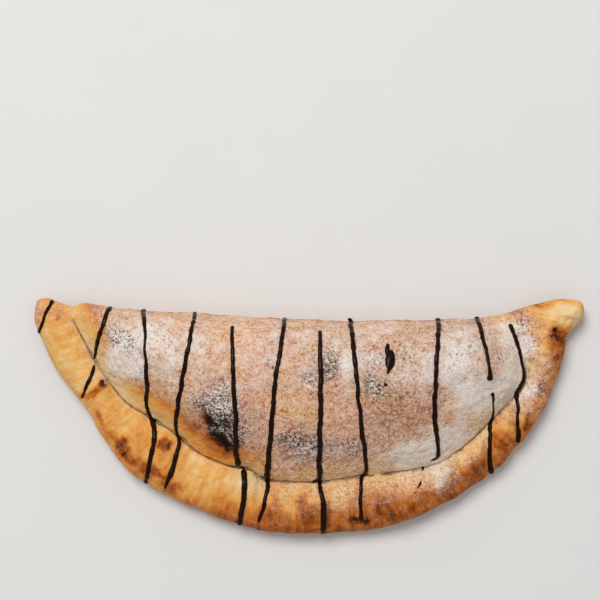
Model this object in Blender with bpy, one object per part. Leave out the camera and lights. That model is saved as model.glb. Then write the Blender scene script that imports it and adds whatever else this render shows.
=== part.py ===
"""A calzone: a disc of pizza dough folded over its filling, crimped along its round edge and baked until it puffed.

The dough is one closed solid. Seen from above it lies between the fold, which is nearly straight, and the rim,
which is the round edge of the disc. The crimp, a narrow crease, parts the swollen dome from the rolled rim and
runs out over the fold near each tip, so the rim also makes both tips. The dough widens from the table up to a
widest line, and that line seen from above is the outline of fold and rim.

Frame: metres, +Z up. The origin is the middle of the footprint's box on the flat underside, +X runs along the
fold to the tip that points outwards like an ear, and +Y points from the rim to the fold.
"""

import bmesh
import bpy
import numpy as np

MM = 0.001

# Heights above the table, in millimetres.
WIDEST_LINE_HEIGHT = 9.0
CREASE_HEIGHT = 12.5
RIM_ROLL_RISE = 6.5
DOME_RISE = 27.0

# How far in from an edge each surface takes to reach its full height, in millimetres.
EDGE_ROUNDING = 7.0
UNDERSIDE_ROUNDING = 9.0
RIM_ROLL_OUTSIDE = 15.0
RIM_ROLL_INSIDE = 10.0
DOME_FROM_CREASE = 52.0
DOME_FROM_FOLD = 30.0

# Guide lines seen from above, in millimetres. Each runs from the blunt tip to the ear tip.
BLUNT_TIP = (-150.0, 56.5)
EAR_TIP = (150.0, 57.5)
FOLD_LINE = [
    BLUNT_TIP,
    (-148.6, 62.8),
    (-143.0, 64.4),
    (-136.0, 62.0),
    (-129.0, 60.0),
    (-121.0, 61.8),
    (-100.0, 58.6),
    (-60.0, 56.2),
    (6.0, 52.4),
    (75.0, 52.8),
    (103.0, 55.4),
    (131.0, 63.2),
    (143.0, 63.6),
    (148.6, 61.6),
    EAR_TIP,
]
RIM_LINE = [
    BLUNT_TIP,
    (-148.6, 48.0),
    (-138.8, 26.0),
    (-126.0, 9.8),
    (-120.0, 0.5),
    (-112.0, -13.5),
    (-89.0, -37.2),
    (-37.0, -59.5),
    (6.0, -64.4),
    (46.0, -59.0),
    (81.0, -43.5),
    (108.0, -23.0),
    (128.3, 4.0),
    (139.0, 34.0),
    (140.4, 43.0),
    (144.2, 48.2),
    (149.0, 53.0),
    EAR_TIP,
]
CRIMP_LINE = [
    (-133.0, 64.0),
    (-130.4, 56.3),
    (-117.4, 31.8),
    (-101.6, 9.5),
    (-88.0, 0.3),
    (-72.3, -9.5),
    (-60.9, -19.3),
    (-45.0, -26.4),
    (-32.6, -28.5),
    (-23.4, -34.5),
    (5.0, -35.6),
    (28.3, -32.3),
    (61.4, -28.0),
    (79.4, -19.8),
    (96.7, -4.1),
    (114.7, 14.9),
    (117.4, 22.6),
    (114.7, 37.2),
    (104.0, 60.0),
]
# The line that a row of vertices keeps to. It follows the crimp, and leaves it near each end to run into the tip.
CRIMP_ROW_LINE = [
    BLUNT_TIP,
    (-143.5, 55.0),
    (-133.5, 53.0),
    (-126.5, 47.5),
    *CRIMP_LINE[2:17],
    (116.8, 33.0),
    (122.5, 45.0),
    (136.0, 54.5),
    EAR_TIP,
]

# Where the crimp dies out at its two ends: X and Y, reach and how wide the crease opens there, in millimetres.
CRIMP_ENDS = [
    (-133.0, 64.0, 14.0, 3.0),
    (104.0, 60.0, 38.0, 9.0),
]
# Tucks pinched across the rolled rim: X and Y at the crimp, X and Y outwards, half width and depth, in millimetres.
TUCKS = [
    (-23.4, -34.5, -28.0, -44.0, 3.0, 1.2),
    (9.0, -38.0, 12.0, -57.0, 3.0, 1.4),
    (38.0, -32.0, 41.0, -46.0, 3.0, 1.0),
    (66.3, -24.0, 67.5, -37.0, 2.4, 1.8),
    (76.0, -21.5, 81.0, -40.0, 2.4, 2.8),
    (95.7, -6.5, 98.0, -31.0, 2.8, 4.4),
    (112.5, 11.5, 112.0, -17.0, 2.6, 4.4),
    (116.5, 20.0, 124.0, 2.0, 2.2, 2.0),
]
# Blisters where steam lifted the dough: centre X and Y, reach and rise, in millimetres.
BLISTERS = [
    (-45.0, -2.0, 15.0, 2.5),
    (-112.0, 17.0, 5.0, 1.2),
    (-76.0, -15.0, 6.0, 1.5),
    (90.0, 26.0, 24.0, 2.5),
    (36.0, 18.0, 16.0, 1.6),
    (88.0, -22.0, 9.0, 1.6),
    (104.0, -10.0, 9.0, 2.2),
    (131.0, 40.0, 8.0, 2.0),
    (-122.0, 55.0, 7.0, 1.6),
]
# Slow unevenness of hand-shaped dough: wave length along X and Y, and rise, in millimetres.
WAVES = [
    (93.0, 140.0, 0.8),
    (-57.0, 71.0, 0.5),
    (38.0, 49.0, 0.3),
]

# Numbers of vertices: rings from tip to tip, and steps of each ring.
RINGS = 112
DOME_STEPS = 14
RIM_STEPS = 10
UNDERSIDE_STEPS = 9
CURVE_SAMPLES = 400
SAMPLES_PER_SPAN = 24
TINY = 1e-9

CRUST_COLOUR = (0.62, 0.34, 0.15, 1.0)
CRUST_ROUGHNESS = 0.7


def smooth_line(points, samples):
    """A Catmull-Rom curve through the points, cut into samples of equal length."""
    p = np.array(points)
    p = np.vstack([2 * p[0] - p[1], p, 2 * p[-1] - p[-2]])
    t = np.linspace(0, 1, SAMPLES_PER_SPAN, endpoint=False)[:, None]
    spans = [
        b + t * ((c - a) / 2 + t * ((2 * a - 5 * b + 4 * c - d) / 2 + t * (3 * (b - c) + d - a) / 2))
        for a, b, c, d in zip(p, p[1:], p[2:], p[3:])
    ]
    curve = np.vstack([*spans, p[-2:-1]])
    along = np.append(0, np.cumsum(np.linalg.norm(np.diff(curve, axis=0), axis=1)))
    wanted = np.linspace(0, along[-1], samples)
    return np.stack([np.interp(wanted, along, curve[:, axis]) for axis in (0, 1)], axis=1)


def distance_to(line, places):
    """Distance from each place to the nearest point of a line, and on which side of it the place lies.

    The side is 1 to the left of the line's direction and -1 to its right.
    """
    start, step = line[:-1], np.diff(line, axis=0)
    gap = places[:, None] - start
    share = np.clip((gap * step).sum(2) / (step * step).sum(1), 0, 1)
    off = gap - share[..., None] * step
    nearest = np.argmin((off * off).sum(2), axis=1)
    off = off[np.arange(len(places)), nearest]
    step = step[nearest]
    side = np.where(step[:, 0] * off[:, 1] - step[:, 1] * off[:, 0] >= 0, 1.0, -1.0)
    return np.hypot(off[:, 0], off[:, 1]), side


def swell(distance, reach, fullness, steepness):
    """A puffed rise from 0 at an edge, where it starts upright, to 1 at reach and beyond."""
    left = 1 - np.clip(distance / reach, 0, 1)
    return (1 - left**fullness) ** steepness


def bump(distance, reach):
    """A round bump: 1 in the middle, falling away over its reach."""
    return np.exp(-((distance / reach) ** 2))


def unevenness(places):
    """Slow waves that lift and lower the dough's edge and top."""
    x, y = places.T
    return sum(rise * np.sin(2 * np.pi * (x / length_x + y / length_y)) for length_x, length_y, rise in WAVES)


def crimp_openness(places):
    """Half width over which rim and dome merge: 0 along the sharp crimp, growing towards its ends."""
    openness = np.zeros(len(places))
    for x, y, reach, width in CRIMP_ENDS:
        openness += width * np.clip(1 - np.hypot(places[:, 0] - x, places[:, 1] - y) / reach, 0, 1)
    return openness


def top_heights(places, outline, crimp):
    """Height of the upper surface at each place: the slab, the rolled rim, the dome and the blisters."""
    inset, _ = distance_to(outline, places)
    to_crimp, side = distance_to(crimp, places)
    from_crimp = np.hypot(to_crimp, crimp_openness(places)) + TINY
    dome_share = (1 + side * to_crimp / from_crimp) / 2
    rounded = swell(inset, EDGE_ROUNDING, 2.0, 0.5)
    slab = WIDEST_LINE_HEIGHT + (CREASE_HEIGHT - WIDEST_LINE_HEIGHT) * rounded + unevenness(places)

    roll = np.full(len(places), RIM_ROLL_RISE)
    for x_in, y_in, x_out, y_out, half_width, depth in TUCKS:
        across, _ = distance_to(np.array([(x_in, y_in), (x_out, y_out)]), places)
        roll -= depth * bump(across, half_width)
    roll *= swell(from_crimp, RIM_ROLL_INSIDE, 2.0, 0.8) * swell(inset, RIM_ROLL_OUTSIDE, 2.0, 0.6)

    dome = swell(from_crimp, DOME_FROM_CREASE, 2.1, 0.85) * swell(inset, DOME_FROM_FOLD, 2.3, 0.6)
    heights = slab + DOME_RISE * dome * dome_share + roll * (1 - dome_share)
    for x, y, reach, rise in BLISTERS:
        heights += rise * bump(np.hypot(places[:, 0] - x, places[:, 1] - y), reach) * rounded
    return heights


def underside_heights(places, outline):
    """Height of the lower surface: a quarter ellipse in from the widest line, then flat on the table."""
    inset, _ = distance_to(outline, places)
    return (WIDEST_LINE_HEIGHT + unevenness(places)) * (1 - swell(inset, UNDERSIDE_ROUNDING, 2.0, 0.5))


def between(start, end, steps):
    """Rows of points from start towards end, closer together at both ends, where the surface bends most."""
    share = (1 - np.cos(np.pi * np.arange(steps) / steps)) / 2
    share = share[None, :, None]
    return start[:, None] * (1 - share) + end[:, None] * share


def crust_rings():
    """Vertices in millimetres as rings x steps x 3, each ring going from the fold over the top and back below."""
    lines = (FOLD_LINE, CRIMP_ROW_LINE, RIM_LINE)
    fold, crimp_row, rim = (smooth_line(line, RINGS + 2)[1:-1] for line in lines)
    fold_edge, crimp, rim_edge = (smooth_line(line, CURVE_SAMPLES) for line in (FOLD_LINE, CRIMP_LINE, RIM_LINE))
    outline = np.vstack([fold_edge[:-1], rim_edge[::-1]])

    over = np.concatenate([between(fold, crimp_row, DOME_STEPS), between(crimp_row, rim, RIM_STEPS)], axis=1)
    under = between(rim, fold, UNDERSIDE_STEPS)
    top = top_heights(over.reshape(-1, 2), outline, crimp).reshape(over.shape[:2])
    bottom = underside_heights(under.reshape(-1, 2), outline).reshape(under.shape[:2])
    plan = np.concatenate([over, under], axis=1)
    height = np.concatenate([top, bottom], axis=1)
    return np.concatenate([plan, height[..., None]], axis=2)


def crust_mesh():
    """The closed skin: neighbouring rings bridged with quads, and a fan of triangles round each tip."""
    rings = crust_rings()
    places = np.array([BLUNT_TIP, EAR_TIP])
    tips = np.column_stack([places, WIDEST_LINE_HEIGHT + unevenness(places)])
    points = np.vstack([rings.reshape(-1, 3), tips])
    points[:, :2] -= (points[:, :2].min(0) + points[:, :2].max(0)) / 2

    bm = bmesh.new()
    verts = [bm.verts.new(point) for point in points * MM]
    blunt, ear = verts[-2:]
    count = rings.shape[1]
    loops = [verts[start : start + count] for start in range(0, RINGS * count, count)]
    for left, right in zip(loops, loops[1:]):
        for step in range(count):
            after = (step + 1) % count
            bm.faces.new((left[step], left[after], right[after], right[step]))
    for step in range(count):
        after = (step + 1) % count
        bm.faces.new((blunt, loops[0][after], loops[0][step]))
        bm.faces.new((ear, loops[-1][step], loops[-1][after]))
    bmesh.ops.recalc_face_normals(bm, faces=bm.faces)
    mesh = bpy.data.meshes.new("crust")
    bm.to_mesh(mesh)
    bm.free()
    mesh.shade_smooth()
    return mesh


def crust_material():
    """Baked dough: golden brown and dull."""
    material = bpy.data.materials.new("baked_crust")
    material.use_nodes = True
    shader = material.node_tree.nodes["Principled BSDF"]
    shader.inputs["Base Color"].default_value = CRUST_COLOUR
    shader.inputs["Roughness"].default_value = CRUST_ROUGHNESS
    return material


def main():
    for old in list(bpy.data.objects):
        bpy.data.objects.remove(old)
    crust = bpy.data.objects.new("crust", crust_mesh())
    crust.data.materials.append(crust_material())
    bpy.context.scene.collection.objects.link(crust)


main()
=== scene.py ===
"""The looks of a calzone: baked crust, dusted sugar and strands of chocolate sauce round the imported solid.

The guide lines and height formulas are those of the solid, in millimetres, so every surface follows it.
"""

import functools

import bpy
import numpy as np
from bpy.props import FloatProperty, FloatVectorProperty, IntProperty, PointerProperty
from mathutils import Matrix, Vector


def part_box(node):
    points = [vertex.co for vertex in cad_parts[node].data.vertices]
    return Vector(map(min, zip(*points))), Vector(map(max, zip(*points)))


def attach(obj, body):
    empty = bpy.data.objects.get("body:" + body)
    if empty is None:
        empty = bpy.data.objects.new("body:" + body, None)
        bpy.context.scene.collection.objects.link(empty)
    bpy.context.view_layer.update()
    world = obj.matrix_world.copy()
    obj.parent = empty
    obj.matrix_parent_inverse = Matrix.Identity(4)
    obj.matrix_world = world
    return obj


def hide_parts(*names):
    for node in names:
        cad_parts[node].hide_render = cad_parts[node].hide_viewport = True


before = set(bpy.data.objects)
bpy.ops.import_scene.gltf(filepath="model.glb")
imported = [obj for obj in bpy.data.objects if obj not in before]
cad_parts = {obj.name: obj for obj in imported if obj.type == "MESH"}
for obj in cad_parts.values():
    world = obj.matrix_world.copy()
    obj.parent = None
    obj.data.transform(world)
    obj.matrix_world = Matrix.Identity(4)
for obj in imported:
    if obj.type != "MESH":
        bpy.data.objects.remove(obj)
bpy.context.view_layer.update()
CRUST_LOW, CRUST_HIGH = (np.array(corner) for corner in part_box("crust"))

bl_info = {
    "name": "Calzone",
    "version": (1, 0, 0),
    "blender": (4, 5, 0),
    "location": "3D View > Sidebar > Calzone",
    "description": "Builds the visible surfaces of a sugared calzone with chocolate sauce",
    "category": "Add Mesh",
}

MM = 0.001

# ---------------------------------------------------------------- form of the dough, in millimetres

WIDEST_LINE_HEIGHT = 9.0
CREASE_HEIGHT = 12.5
RIM_ROLL_RISE = 6.5
DOME_RISE = 27.0
EDGE_ROUNDING = 7.0
UNDERSIDE_ROUNDING = 9.0
RIM_ROLL_OUTSIDE = 15.0
RIM_ROLL_INSIDE = 10.0
DOME_FROM_CREASE = 52.0
DOME_FROM_FOLD = 30.0

BLUNT_TIP = (-150.0, 56.5)
EAR_TIP = (150.0, 57.5)
FOLD_LINE = [
    BLUNT_TIP, (-148.6, 62.8), (-143, 64.4), (-136, 62), (-129, 60), (-121, 61.8), (-100, 58.6),
    (-60, 56.2), (6, 52.4), (75, 52.8), (103, 55.4), (131, 63.2), (143, 63.6), (148.6, 61.6), EAR_TIP,
]
RIM_LINE = [
    BLUNT_TIP, (-148.6, 48), (-138.8, 26), (-126, 9.8), (-120, 0.5), (-112, -13.5), (-89, -37.2),
    (-37, -59.5), (6, -64.4), (46, -59), (81, -43.5), (108, -23), (128.3, 4), (139, 34), (140.4, 43),
    (144.2, 48.2), (149, 53), EAR_TIP,
]
CRIMP_LINE = [
    (-133, 64), (-130.4, 56.3), (-117.4, 31.8), (-101.6, 9.5), (-88, 0.3), (-72.3, -9.5), (-60.9, -19.3),
    (-45, -26.4), (-32.6, -28.5), (-23.4, -34.5), (5, -35.6), (28.3, -32.3), (61.4, -28), (79.4, -19.8),
    (96.7, -4.1), (114.7, 14.9), (117.4, 22.6), (114.7, 37.2), (104, 60),
]
CRIMP_ROW_LINE = [
    BLUNT_TIP, (-143.5, 55), (-133.5, 53), (-126.5, 47.5), *CRIMP_LINE[2:17], (116.8, 33), (122.5, 45),
    (136, 54.5), EAR_TIP,
]
# Where the crimp dies out: X and Y, reach and opening width.
CRIMP_ENDS = [(-133, 64, 14, 3), (104, 60, 38, 9)]
# Tucks across the rolled rim: X and Y at the crimp, X and Y outwards, half width and depth.
TUCKS = [
    (-23.4, -34.5, -28, -44, 3, 1.2), (9, -38, 12, -57, 3, 1.4), (38, -32, 41, -46, 3, 1),
    (66.3, -24, 67.5, -37, 2.4, 1.8), (76, -21.5, 81, -40, 2.4, 2.8), (95.7, -6.5, 98, -31, 2.8, 4.4),
    (112.5, 11.5, 112, -17, 2.6, 4.4), (116.5, 20, 124, 2, 2.2, 2),
]
# Blisters: centre X and Y, reach and rise.
BLISTERS = [
    (-45, -2, 15, 2.5), (-112, 17, 5, 1.2), (-76, -15, 6, 1.5), (90, 26, 24, 2.5), (36, 18, 16, 1.6),
    (88, -22, 9, 1.6), (104, -10, 9, 2.2), (131, 40, 8, 2), (-122, 55, 7, 1.6),
]
# Fine folds of the rim's skin: X and Y at both ends, half width and rise.
FOLDS = [
    (-46, -29.4, -60, -36.6, 0.9, 0.50), (-45, -32, -57, -38.6, 1, -0.35), (-56, -33, -63, -30, 0.8, 0.30),
    (-29, -35.4, -33.5, -40, 0.8, 0.35), (-18, -36.5, -20, -46, 0.9, 0.30), (-9, -37, -13, -46, 0.8, 0.35),
    (-2.5, -37.5, -4.5, -48, 0.8, 0.35), (10.5, -36.5, 9.5, -48, 0.9, 0.45),
    (14.5, -36, 13, -48, 0.8, 0.35), (20.5, -35, 16.5, -47, 1, 0.50), (34, -33, 32.5, -42, 0.8, 0.35),
    (41, -33.5, 39.5, -42, 0.8, 0.30), (46, -33.5, 45, -43, 0.8, 0.45), (51, -32.5, 49, -42, 0.8, 0.45),
    (56, -31, 53.5, -42, 0.9, 0.45), (62, -30, 62.5, -40, 1, 0.45), (67.3, -25.5, 68, -39, 1.2, 0.80),
    (72.5, -26, 73, -39, 1, 0.45), (80.5, -22, 85.5, -37, 0.9, 0.60), (84, -20.5, 89.5, -36, 0.9, 0.40),
    (88, -18, 91, -30, 1, 0.35), (101, -4, 101.5, -20, 0.9, 0.35), (110.6, 3, 110.6, -12, 1, 0.55),
    (117.5, 13.5, 122.5, 5, 0.8, 0.50), (116.6, 15, 121.4, 6.6, 0.5, -0.50), (119.5, 17, 126, 8, 0.9, 0.40),
]
# Slow waves: wave length along X and Y, and rise.
WAVES = [(93.0, 140.0, 0.8), (-57.0, 71.0, 0.5), (38.0, 49.0, 0.3)]

# Grid of the crust: rings from tip to tip, steps of each ring and finer steps to measure them with.
RINGS = 430
DOME_STEPS = 118
RIM_STEPS = 58
UNDERSIDE_STEPS = 40
FINE_STEPS = 120
CREASE_CROWDING = 1.35
CURVE_SAMPLES = 400
SAMPLES_PER_SPAN = 24
TINY = 1e-9

# Fine relief of the crust: wave lengths of its ripples and their seeds.
LUMP_WAVE, LUMP_SEED = 16.0, 11
BUMP_WAVE, BUMP_SEED = 6.0, 12
PORE_WAVE = 2.6
PLEAT_WAVE = 5.0
PLEAT_DRIFT = 0.06
ROUGHER_RIM = 0.8
CREASE_REACH = 0.3
# The rim runs roughly round a point above the fold.
RIM_CENTRE_Y = 80.0
RIM_MM_PER_DEGREE = 2.3
# Pits left by the stone in the flat underside: how deep they lie below the dough and how far they vary.
PIT_DEPTH, PIT_SPREAD, PIT_WAVE = 0.35, 0.25, 3.0

# ---------------------------------------------------------------- how the bake went, in millimetres
# Each mark is a soft oval: centre X and Y, half length, half width, turn in degrees and strength.

# Tone of the dough, from 0 pale to 1 nearly black. These add to the even bake of dome and rim.
TONE_MARKS = [
    # blunt tip and the left of the rim
    (-148, 57, 6, 7, 0, 0.24), (-133, 56, 7, 6, -40, 0.24), (-135, 53, 1.6, 1.2, 0, 0.25),
    (-130, 45, 1.4, 1.2, 0, 0.20), (-111, 17.2, 3.2, 2.9, 0, 0.52), (-117.5, 13.5, 5.4, 2.2, 28, 0.52),
    (-108, 6, 8, 6, -40, 0.14), (-114, -1, 4.5, 2.4, -60, 0.44), (-108.5, -8.5, 4, 2.5, -45, 0.28),
    (-104, -14, 4.5, 2.4, -52, 0.36), (-100.5, -19.5, 6, 3, -35, 0.44), (-92, -24.5, 6.5, 3, -32, 0.36),
    (-86, -31, 6, 3, -10, 0.38), (-77, -31.5, 6, 2.2, -5, 0.32), (-88, -13, 13, 8, -38, 0.18),
    (-78.4, -12.4, 3.4, 3, 0, 0.80), (-78.2, -12.6, 5.2, 4.6, 0, 0.12), (-73.5, -37.5, 5.5, 2.6, -18, 0.42),
    (-77, -23, 7, 6, 0, 0.14),
    # middle of the rim
    (-60, -44, 10, 6, -22, -0.06), (-44, -54, 10, 3, -14, 0.14), (-26, -53, 4.5, 4, 0, 0.18),
    (-19, -41, 4, 5, 0, 0.16), (-12, -50, 4, 5, 0, -0.14), (-34, -38, 14, 8, -12, -0.22),
    (-4.5, -43.5, 2.2, 5, -8, 0.40), (3, -53, 9, 5, 0, 0.22), (9.5, -52, 2, 6.5, -5, 0.26),
    (18, -44, 5, 7, -8, -0.20), (29, -43, 6, 6, 0, 0.24), (42, -43, 8, 5, 0, 0.20),
    (46, -37, 2, 3.5, 0, 0.22), (44, -49, 10, 5, 10, 0.14), (58, -45, 12, 4, 20, 0.16),
    (74, -38, 6, 5, 30, 0.14),
    # lumps on the right of the rim
    (83, -20, 4, 3, 38, -0.16), (90.5, -27.5, 3.8, 6, 20, 0.12), (84, -32, 5, 3, 25, 0.10),
    (92.5, -12, 5, 4, 42, -0.34), (96.5, -21, 1.8, 8, 8, -0.16), (104.2, -14, 3.2, 9.5, 8, 0.28),
    (102, -26, 4, 4, 30, 0.06), (102, 1, 10, 4, 40, 0.26), (111, -1, 1.8, 6, 0, -0.20),
    (110, -10, 3, 6, 0, 0.10), (117.5, -2, 3, 8, 12, 0.22), (122, -1, 3, 4, 30, -0.05),
    (118, 10, 4, 4, -50, 0.06), (125, 17, 3.2, 5, 0, 0.26), (130, 12, 3, 6, 30, 0.12),
    (112, 44, 8, 11, 0, 0.36), (120, 38, 5, 8, 0, 0.16), (105, 45, 4, 7, 0, 0.12),
    (126, 33, 3.5, 6, 0, -0.22), (133.5, 30, 3.2, 4.2, 0, 0.22), (139, 39, 3.5, 3.5, 0, 0.20),
    (135, 42, 8, 5, -45, 0.52), (127, 61.5, 4.5, 2.8, 20, 0.42), (129, 45, 4, 8, 0, -0.16),
    (136, 55, 15, 11, 0, -0.50), (148, 53, 7, 9, 0, -0.24),
    # left of the dome
    (-117, 57, 7, 5, -10, 0.20), (-104, 48, 8, 8, 0, 0.34), (-104, 27, 7, 6, 0, -0.26),
    (-92, 42, 8, 10, 0, 0.40), (-88, 28, 9, 6, 25, 0.26), (-98, 15, 8, 5, 40, -0.10),
    (-75, 45, 6, 8, 0, 0.10), (-76, 17, 6, 6, 0, 0.14), (-62, 44, 7, 10, 0, 0.24), (-59, 6, 8, 8, 0, 0.38),
    (-64, -4, 7, 3, -30, 0.16), (-48, 16, 10, 7, 0, 0.20), (-48, 0, 11, 15, 0, 0.30),
    (-34, -2, 8, 11, 0, 0.34), (-46, -20, 10, 3.4, -20, 0.14), (-31, -14, 5, 6, 0, 0.20),
    (-24, -6, 6, 9, 0, 0.16),
    # middle of the dome
    (-15, 45, 5, 9, 0, 0.20), (-4, -15, 13, 8, 0, 0.30), (8, 29, 7, 9, 0, 0.26),
    (-21, 31, 2.2, 4, 15, 0.30), (-23, 14, 2, 1.3, 0, 0.45), (18.5, 3.5, 1.3, 1, 0, 0.40),
    (4, 4, 18, 10, 0, -0.20), (22, -18, 10, 7, 0, 0.14),
    # right of the dome
    (34, 20, 8, 9, 0, 0.16), (34, 51, 26, 5, 0, -0.14), (48, 3, 14, 9, 0, 0.14), (62, 1, 7, 7, 0, -0.12),
    (66, 30, 16, 12, 0, 0.10), (79, 9, 10, 9, 20, -0.42), (92, 11, 11, 7, 25, -0.80),
    (104, 22, 5, 10, -10, -0.30), (104, 11, 4, 4, 30, 0.60), (58, -20, 17, 9, 12, -0.66),
    (74, -11, 12, 8, 35, -0.48),
]
# Burnt spots, from 0 to 1.
SCORCH_MARKS = [
    (-46, -7, 9, 12, 15, 0.98), (-47, 8, 8.5, 8, 0, 0.80), (-54, 0, 5, 8, 20, 0.30),
    (-42, 17, 8, 3, 0, 0.25), (-36, -4, 4, 8, 0, 0.15), (-60, 8, 5, 4, 20, 0.25),
    (-102, 43, 7, 5, -20, 0.80), (-98, 41, 6, 5, 0, 0.75), (-92, 23, 7, 3.4, 30, 0.55),
    (-79, 43, 7, 4, 0, 0.36), (-70, 28, 1.8, 1.8, 0, 0.35), (-58, 27, 1.4, 1.4, 0, 0.30),
    (-63, 38, 2, 1.8, 0, 0.30), (-13, -11, 8, 3.5, 0, 0.62), (-2, -15, 8, 5, 0, 0.62),
    (-9, -21, 5, 3, 0, 0.30), (7, -14, 5, 7, 0, 0.50), (21, -15, 7, 4, 0, 0.34), (10, 27, 6, 5.5, 60, 0.80),
    (0, 21, 5.5, 3, 10, 0.60), (12, 34, 4, 4, 0, 0.25), (34, 17, 5.5, 5.5, 0, 0.80),
    (34, 32, 5, 6, 0, 0.40), (47, 34, 6, 4, 0, 0.34), (49, 12, 8, 1.8, 0, 0.18), (86, 38, 4, 4, 0, 0.50),
    (77, 33, 4, 4, 0, 0.36), (83, 30, 4, 3, 0, 0.20), (103, 33, 3, 5, 0, 0.44), (115, 50, 3, 6, 0, 0.55),
    (118, 42, 5, 8, 0, 0.26), (104, 12, 4, 2.5, 30, 0.35), (26, -56, 6, 2.8, 0, 0.60),
    (77, -42, 4, 2.4, 25, 0.10), (132, 44.4, 4, 2.6, -35, 0.68), (125, 16, 2.6, 5, 0, 0.60),
    (116, -4, 1.2, 3, 10, 0.35), (-111.5, 18, 2.2, 1.8, 20, 0.85), (-101.5, -20, 4, 1.6, -40, 0.30),
    (-78.6, -13, 3, 2.4, 0, 0.34), (-21, 33, 1.6, 1, -30, 0.55), (-20, 28, 1.2, 1.6, 0, 0.45),
    (0, -58, 12, 2.5, 0, 0.12), (45, -52, 16, 2.6, 12, 0.20),
]
# Share of the crust hidden by melted sugar. These add to the even dusting.
SUGAR_MARKS = [
    (-148, 57, 6, 7, 0, 0.40), (-133, 57, 7, 5, -30, 0.26), (-118, 56, 7, 6, 0, 0.20),
    # The first mark on the next line is partly sugar that lies there and partly painted light: it brightens
    # the steep dough beside the crimp, which the shape puts in shade.
    (-105, 28, 11, 9, -40, 0.80), (-86, 42, 16, 11, 0, 0.24), (-95, 30, 8, 5, 0, 0.20),
    (-74, 28, 8, 7, 0, 0.14), (-82, 6, 14, 8, -30, -0.34), (-47, 0, 9, 6, 0, -0.34),
    (-46, -10, 9, 9, 0, -0.42), (-45, -17, 9, 5, -15, -0.24), (-57, -1, 5, 9, 10, -0.48),
    (-45, -21, 10, 5, -12, -0.34), (-27, -21, 7, 6, 0, -0.28), (-5, -13, 13, 6, 0, -0.22),
    (-60, 38, 8, 12, 0, 0.14), (27, 34, 6, 6, 0, 0.10), (20, 31, 6, 11, 0, 0.20), (38, 48, 8, 6, 0, 0.14),
    (57, 27, 9, 10, 0, 0.14), (34, 17, 6, 6, 0, -0.24), (46, 4, 20, 8, 0, -0.14), (9, 26, 6, 6, 0, -0.20),
    (78, 28, 12, 14, 0, 0.32), (86, 44, 8, 8, 0, 0.12), (90, 12, 15, 9, 20, 0.52),
    (106, 20, 5, 12, -10, 0.34), (104, 45, 5, 8, 0, 0.24), (111, 46, 9, 9, 0, 0.28),
    (58, -20, 15, 8, 10, 0.66), (76, -12, 12, 8, 32, 0.52), (86, -22, 6, 4, 35, 0.26),
    (104, 8, 4, 4, 20, -0.10),
    # sugar that fell on the rim
    (72, -31, 9, 8, 10, 0.52), (52, -34, 12, 4, 10, 0.16), (17, -45, 4, 6, 0, 0.18),
    (-26, -38, 8, 5, 0, 0.10), (-4, -42, 5, 6, 0, -0.20), (107, 5, 8, 6, 40, 0.46),
    (92, -14, 5, 5, 40, 0.34), (104, -14, 4, 9, 8, -0.10), (118, 14, 9, 11, 0, 0.80),
    (118, 33, 9, 11, 0, 0.56), (117, 46, 9, 12, 0, 0.50), (128, 26, 4, 8, 0, 0.36),
]

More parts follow.
